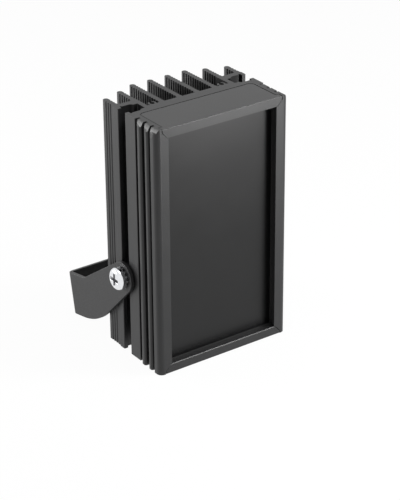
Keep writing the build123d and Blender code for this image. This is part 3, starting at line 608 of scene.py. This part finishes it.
class LAMP_OT_end_caps(bpy.types.Operator):
    """Dresses the two end caps with softened edges and a satin black coat"""

    bl_idname = "lamp.end_caps"
    bl_label = "End caps"

    def execute(self, context):
        sizes, colours = context.scene.lamp_sizes, context.scene.lamp_colours
        finish = coat("satin black caps", colours.caps, colours.cap_roughness,
                      sizes.coat_grain, sizes.coat_relief)
        for end in ("top", "bottom"):
            cap = merged_copy(f"{end}_end_cap", f"{end}_cap")
            front_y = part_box(f"{end}_end_cap")[0].y
            soften(cap, sizes.cap_front_edge, lambda edge: front_edge(edge, front_y), segments=1)
            soften(cap, sizes.cap_edge, lambda edge: turn_of(edge) > SQUARE_ANGLE)
            smooth(cap, CAP_SMOOTH_ANGLE)
            dress(cap, finish)
            place(cap, f"{end}_end_cap", "lamp")
        return {"FINISHED"}


class LAMP_OT_window(bpy.types.Operator):
    """Dresses the dark front window"""

    bl_idname = "lamp.window"
    bl_label = "Window"

    def execute(self, context):
        sizes, colours = context.scene.lamp_sizes, context.scene.lamp_colours
        window = merged_copy("front_window", "window")
        soften(window, sizes.window_edge, sharp)
        smooth(window)
        shader = Shader("dark window")
        shader.set(IOR=PLASTIC_IOR, Specular_IOR_Level=colours.window_gloss)
        shader.tint(shader.noise(WINDOW_CLOUD), colours.window, WINDOW_SHADE)
        shader.gloss(shader.noise(WINDOW_GRAIN), colours.window_roughness, WINDOW_MOTTLE)
        dress(window, shader.material)
        place(window, "front_window", "lamp")
        return {"FINISHED"}


class LAMP_OT_bracket(bpy.types.Operator):
    """Dresses the bent bracket with softened cut edges and a grained powder coat"""

    bl_idname = "lamp.bracket"
    bl_label = "Bracket"

    def execute(self, context):
        sizes, colours = context.scene.lamp_sizes, context.scene.lamp_colours
        bracket = merged_copy("u_bracket", "bracket")
        soften(bracket, sizes.bracket_edge, sharp)
        smooth(bracket)
        dress(bracket, coat("powder coat", colours.bracket, colours.bracket_roughness,
                            sizes.powder_grain, sizes.powder_relief, mottle=POWDER_MOTTLE))
        place(bracket, "u_bracket", "bracket")
        return {"FINISHED"}


def pan_head(outer_x, base_x, radius):
    """Stations of a pan head's rounded profile, from its base outwards."""
    height = outer_x - base_x
    wall = base_x + height * HEAD_WALL_SHARE
    stations = [(base_x, radius * HEAD_FOOT_SHARE), (base_x + height * HEAD_FOOT_RISE, radius),
                (wall, radius)]
    for step in range(1, HEAD_ARC_STEPS + 1):
        turn = radians(90) * step / HEAD_ARC_STEPS
        stations.append((wall + (outer_x - wall) * sin(turn),
                         radius * (HEAD_CROWN_SHARE + (1 - HEAD_CROWN_SHARE) * cos(turn))))
    return stations


def rim_of_recess(edge, outer_x, radius):
    """An edge where the recess breaks through the head's face."""
    near = all(abs(v.co.x - outer_x) < radius * RIM_REACH_SHARE for v in edge.verts)
    return near and turn_of(edge) > SQUARE_ANGLE


def cut_cross(piece, centre, outer_x, inward, sizes):
    """Cuts a cross recess with tapered wings into a head's outer face."""
    floor_x = outer_x + inward * sizes.recess_depth
    start_x = outer_x - inward * sizes.recess_edge
    upright_wing = (sizes.recess_width, sizes.recess_length)
    narrowing = (RECESS_FLANK_SHARE, RECESS_END_SHARE)
    for span, shares in ((upright_wing, narrowing), (upright_wing[::-1], narrowing[::-1])):
        bpy.ops.object.select_all(action="DESELECT")
        bpy.ops.mesh.primitive_cube_add(
            size=1, location=((floor_x + start_x) / 2, centre.y, centre.z))
        cutter = bpy.context.view_layer.objects.active
        cutter.scale = (abs(floor_x - start_x), *span)
        bpy.ops.object.transform_apply(location=True, rotation=True, scale=True)
        select_where(cutter, "VERT", lambda vert: abs(vert.co.x - floor_x) < WELD_DISTANCE)
        bpy.ops.transform.resize(value=(1, *shares),
                                 center_override=(floor_x, centre.y, centre.z))
        close_edit()
        select_only(piece)
        bpy.ops.object.modifier_add(type="BOOLEAN")
        cut = piece.modifiers[-1]
        cut.operation = "DIFFERENCE"
        cut.solver = "EXACT"
        cut.object = cutter
        bpy.ops.object.modifier_apply(modifier=cut.name)
        bpy.data.objects.remove(cutter)


def paint_recess_shade(piece, centre, outer_x, inward, sizes):
    """Paints shade into the cross recess: its faces get a darker, duller metal of their own."""
    def in_recess(face):
        """A face below the head's outer face and within the cross's length."""
        middle = face.calc_center_median()
        depth = (middle.x - outer_x) * inward
        reach = (middle.yz - centre.yz).length
        return sizes.recess_edge < depth < sizes.head_height and reach < sizes.recess_length / 2

    select_only(piece)
    bpy.ops.object.material_slot_add()
    piece.material_slots[-1].material = finish_of("recess")
    select_where(piece, "FACE", in_recess)
    bpy.ops.object.material_slot_assign()
    close_edit()


class LAMP_OT_pivots(bpy.types.Operator):
    """Models the two pivot screws: a chromed pan head with a cross recess, and its shank"""

    bl_idname = "lamp.pivots"
    bl_label = "Pivot screws"

    def execute(self, context):
        sizes = context.scene.lamp_sizes
        for side, inward in (("right", -1), ("left", 1)):
            low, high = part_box(f"{side}_pivot_screw")
            centre = (low + high) / 2
            outer_x, tip_x = (high.x, low.x) if inward < 0 else (low.x, high.x)
            base_x = outer_x + inward * sizes.head_height
            radius = (high.z - low.z) / 2
            shank = [(tip_x, sizes.shank_radius - sizes.shank_lead),
                     (tip_x - inward * sizes.shank_lead, sizes.shank_radius),
                     (base_x, sizes.shank_radius)]
            screw = turned(f"{side}_screw", centre, shank + pan_head(outer_x, base_x, radius),
                           HEAD_SIDES)
            cut_cross(screw, centre, outer_x, inward, sizes)
            if len(screw.data.polygons) < HEAD_SIDES:
                raise RuntimeError(f"{screw.name} lost its faces")
            soften(screw, sizes.recess_edge, lambda edge: rim_of_recess(edge, outer_x, radius))
            smooth(screw)
            dress(screw, finish_of("pivot_chrome"))
            # Painted shade: darker metal on the faces down in the cross recess
            paint_recess_shade(screw, centre, outer_x, inward, sizes)
            place(screw, f"{side}_pivot_screw", "carriage")
        return {"FINISHED"}


class LAMP_OT_gland(bpy.types.Operator):
    """Dresses the cable gland's body and nut"""

    bl_idname = "lamp.gland"
    bl_label = "Cable gland"

    def execute(self, context):
        sizes = context.scene.lamp_sizes
        for node in ("gland_body", "gland_nut"):
            piece = merged_copy(node, node.replace("gland_", "cable_gland_"))
            soften(piece, sizes.gland_edge, sharp)
            smooth(piece)
            dress(piece, finish_of("gland_black"))
            place(piece, node, "lamp")
        return {"FINISHED"}


class LAMP_OT_inner_pieces(bpy.types.Operator):
    """Gives seals, nuts, screws, boards and their pieces their materials"""

    bl_idname = "lamp.inner_pieces"
    bl_label = "Inner pieces"

    def execute(self, context):
        for node, slot_name in PLAIN_NODES.items():
            dress(NODES[node], finish_of(slot_name))
        return {"FINISHED"}


def direction(around, above):
    """The way out to an azimuth, 0 in front and growing to the right, and an elevation."""
    return Vector((sin(around) * cos(above), -cos(around) * cos(above), sin(above)))


def seen_directly(tree):
    """An output that is 1 where a camera, glossy or transmission ray meets the surface."""
    path = tree.nodes.new("ShaderNodeLightPath")
    seen = path.outputs["Is Camera Ray"]
    for ray in ("Is Glossy Ray", "Is Transmission Ray"):
        either = tree.nodes.new("ShaderNodeMath")
        either.operation = "MAXIMUM"
        tree.links.new(seen, either.inputs[0])
        tree.links.new(path.outputs[ray], either.inputs[1])
        seen = either.outputs["Value"]
    return seen


class LAMP_OT_stage(bpy.types.Operator):
    """Makes the floor, the light and the camera"""

    bl_idname = "lamp.stage"
    bl_label = "Stage"

    def execute(self, context):
        stage = context.scene.lamp_stage
        bpy.ops.object.select_all(action="DESELECT")
        bpy.ops.mesh.primitive_circle_add(vertices=FLOOR_SIDES, radius=stage.floor_size / 2,
                                          fill_type="NGON", location=(0, 0, 0))
        floor = context.view_layer.objects.active
        floor.name = "floor"
        shader = Shader("floor")
        shader.set(Roughness=FLOOR_ROUGHNESS, Specular_IOR_Level=0.0)
        shader.tint(shader.noise(FLOOR_CLOUD), stage.floor, FLOOR_SHADE)
        glow = shader.node("ShaderNodeEmission", Strength=1.0)
        lifted = shader.node("ShaderNodeMixShader")
        share = shader.node("ShaderNodeMath")
        share.operation = "MULTIPLY"
        share.inputs[1].default_value = stage.floor_glow
        shader.link(seen_directly(shader.tree), share.inputs[0])
        shader.link(share.outputs[0], lifted.inputs["Fac"])
        shader.link(shader.surface.outputs["BSDF"], lifted.inputs[1])
        shader.link(glow.outputs["Emission"], lifted.inputs[2])
        output = shader.tree.nodes["Material Output"]
        shader.link(lifted.outputs["Shader"], output.inputs["Surface"])
        dress(floor, shader.material)

        world = bpy.data.worlds.new("soft sky")
        world.use_nodes = True
        sky = world.node_tree.nodes["Background"]
        sky.inputs["Color"].default_value = (1.0, 1.0, 1.0, 1.0)
        strength = world.node_tree.nodes.new("ShaderNodeMapRange")
        strength.inputs["To Min"].default_value = stage.sky_strength
        strength.inputs["To Max"].default_value = 1.0
        world.node_tree.links.new(seen_directly(world.node_tree), strength.inputs["Value"])
        world.node_tree.links.new(strength.outputs["Result"], sky.inputs["Strength"])
        context.scene.world = world

        target = Vector(stage.camera_target)
        for name, soft in SOFT_LIGHTS.items():
            way = direction(radians(soft.azimuth), radians(soft.elevation))
            bpy.ops.object.light_add(type="AREA", location=target + way * soft.distance)
            light = context.view_layer.objects.active
            light.name = f"{name} light"
            light.rotation_mode = "QUATERNION"
            light.rotation_quaternion = way.to_track_quat("Z", "Y")
            light.data.shape = "DISK"
            light.data.size = soft.width
            light.data.energy = getattr(stage, f"{name}_power")

        back = direction(stage.camera_azimuth, stage.camera_elevation)
        turn = (-back).to_track_quat("-Z", "Y").to_matrix()
        roll = Matrix.Rotation(stage.camera_roll, 3, back)
        bpy.ops.object.camera_add(location=target + back * stage.camera_distance)
        camera = context.view_layer.objects.active
        camera.name = "camera"
        camera.rotation_mode = "QUATERNION"
        camera.rotation_quaternion = (roll @ turn).to_quaternion()
        camera.data.lens = camera.data.sensor_width * stage.focal_pixels / PHOTO_LONG_SIDE
        camera.data.shift_x = -stage.shift_right / PHOTO_LONG_SIDE
        camera.data.shift_y = -stage.shift_up / PHOTO_LONG_SIDE
        camera.data.clip_start = CAMERA_NEAR
        camera.data.clip_end = CAMERA_FAR
        context.scene.camera = camera
        context.scene.view_settings.view_transform = "Standard"
        return {"FINISHED"}


PIECES = (LAMP_OT_housing, LAMP_OT_end_caps, LAMP_OT_window, LAMP_OT_bracket, LAMP_OT_pivots,
          LAMP_OT_gland, LAMP_OT_inner_pieces, LAMP_OT_stage)


class LAMP_PT_panel(bpy.types.Panel):
    """Lists the pieces and the values that shape them."""

    bl_idname = "LAMP_PT_panel"
    bl_label = "Infrared illuminator"
    bl_space_type = "VIEW_3D"
    bl_region_type = "UI"
    bl_category = "Illuminator"

    def draw(self, context):
        for piece in PIECES:
            self.layout.operator(piece.bl_idname)
        for group in (context.scene.lamp_sizes, context.scene.lamp_colours,
                      context.scene.lamp_stage):
            box = self.layout.box()
            for name in group.__annotations__:
                box.prop(group, name)


CLASSES = (LampSizes, LampColours, LampStage, *PIECES, LAMP_PT_panel)


def register():
    """Registers the classes and the values on the scene."""
    for made in CLASSES:
        bpy.utils.register_class(made)
    bpy.types.Scene.lamp_sizes = PointerProperty(type=LampSizes)
    bpy.types.Scene.lamp_colours = PointerProperty(type=LampColours)
    bpy.types.Scene.lamp_stage = PointerProperty(type=LampStage)


def unregister():
    """Takes the values and the classes away again."""
    del bpy.types.Scene.lamp_stage
    del bpy.types.Scene.lamp_colours
    del bpy.types.Scene.lamp_sizes
    for made in reversed(CLASSES):
        bpy.utils.unregister_class(made)


def main():
    """Builds every piece and the stage."""
    register()
    bpy.ops.lamp.housing()
    bpy.ops.lamp.end_caps()
    bpy.ops.lamp.window()
    bpy.ops.lamp.bracket()
    bpy.ops.lamp.pivots()
    bpy.ops.lamp.gland()
    bpy.ops.lamp.inner_pieces()
    bpy.ops.lamp.stage()


if __name__ == "__main__":
    main()
